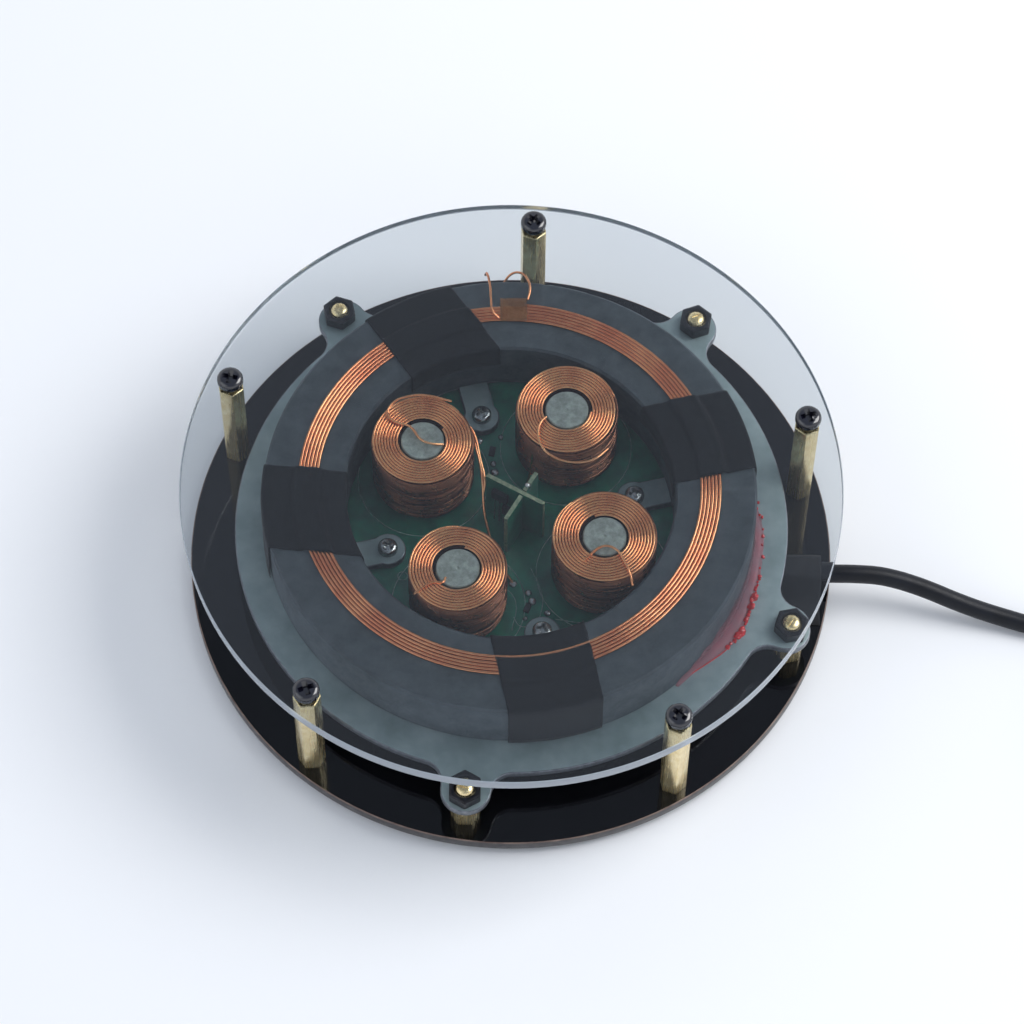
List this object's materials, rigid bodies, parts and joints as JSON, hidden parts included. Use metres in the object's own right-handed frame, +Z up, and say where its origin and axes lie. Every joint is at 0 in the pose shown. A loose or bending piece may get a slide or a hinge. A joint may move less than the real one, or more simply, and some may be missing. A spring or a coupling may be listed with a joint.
{
  "type": "magnetic levitation base",
  "caption": "Open magnetic levitation desk base: smoked acrylic disc on brass standoffs over a ring magnet, copper steering coils, circuit board and black acrylic base, with a power cord",
  "frame": {"origin": "centre of the footprint on the table, under the centre of the cover disc", "axes": "+Z up out of the cover; -Y the side with the front stud and front tape strip; +X the side the cord leaves; the discs lie in X-Y"},
  "size_m": [0.2644, 0.1823, 0.0404],
  "materials": {
    "base_acrylic": "glossy black cast acrylic",
    "cover_acrylic": "clear acrylic with a faint smoke tint, polished",
    "brass": "bright machined hex bar",
    "black_screws": "black nickel-plated steel",
    "plate_steel": "dull zinc-plated sheet steel",
    "ferrite": "sintered ferrite, matt dark grey",
    "board": "green solder mask",
    "core_steel": "cut steel rod end",
    "copper": "enamelled copper wire",
    "cloth_tape": "black cloth tape",
    "bright_screws": "bright zinc-plated steel",
    "socket_nylon": "white nylon",
    "cord_rubber": "soft black PVC"
  },
  "bodies": {
    "root": {"base_plate": "base_acrylic", "cover_plate": "cover_acrylic", "cover_standoff_1": "brass", "cover_standoff_2": "brass", "cover_standoff_3": "brass", "cover_standoff_4": "brass", "cover_standoff_5": "brass", "cover_screw_1": "black_screws", "cover_screw_2": "black_screws", "cover_screw_3": "black_screws", "cover_screw_4": "black_screws", "cover_screw_5": "black_screws", "base_screw_1": "black_screws", "base_screw_2": "black_screws", "base_screw_3": "black_screws", "base_screw_4": "black_screws", "base_screw_5": "black_screws", "plate_standoff_1": "brass", "plate_standoff_2": "brass", "plate_standoff_3": "brass", "plate_standoff_4": "brass", "plate_nut_1": "black_screws", "plate_nut_2": "black_screws", "plate_nut_3": "black_screws", "plate_nut_4": "black_screws", "plate_base_screw_1": "black_screws", "plate_base_screw_2": "black_screws", "plate_base_screw_3": "black_screws", "plate_base_screw_4": "black_screws", "mounting_plate": "plate_steel", "ring_magnet": "ferrite", "circuit_board": "board", "coil_core_1": "core_steel", "coil_core_2": "core_steel", "coil_core_3": "core_steel", "coil_core_4": "core_steel", "coil_winding_1": "copper", "coil_winding_2": "copper", "coil_winding_3": "copper", "coil_winding_4": "copper", "transmitter_coil": "copper", "tape_strip_1": "cloth_tape", "tape_strip_2": "cloth_tape", "tape_strip_3": "cloth_tape", "tape_strip_4": "cloth_tape", "sensor_board_long": "board", "sensor_board_rear": "board", "sensor_board_front": "board", "board_screw_1": "bright_screws", "board_screw_2": "bright_screws", "board_screw_3": "bright_screws", "board_screw_4": "bright_screws", "power_socket": "socket_nylon", "power_plug": "cord_rubber", "cord_lead": "cord_rubber", "cord_coil": "cord_rubber", "cord_tail": "cord_rubber", "cord_connector": "cord_rubber", "cord_tie": "cloth_tape", "cord_tape": "cloth_tape"}
  },
  "joints": []
}
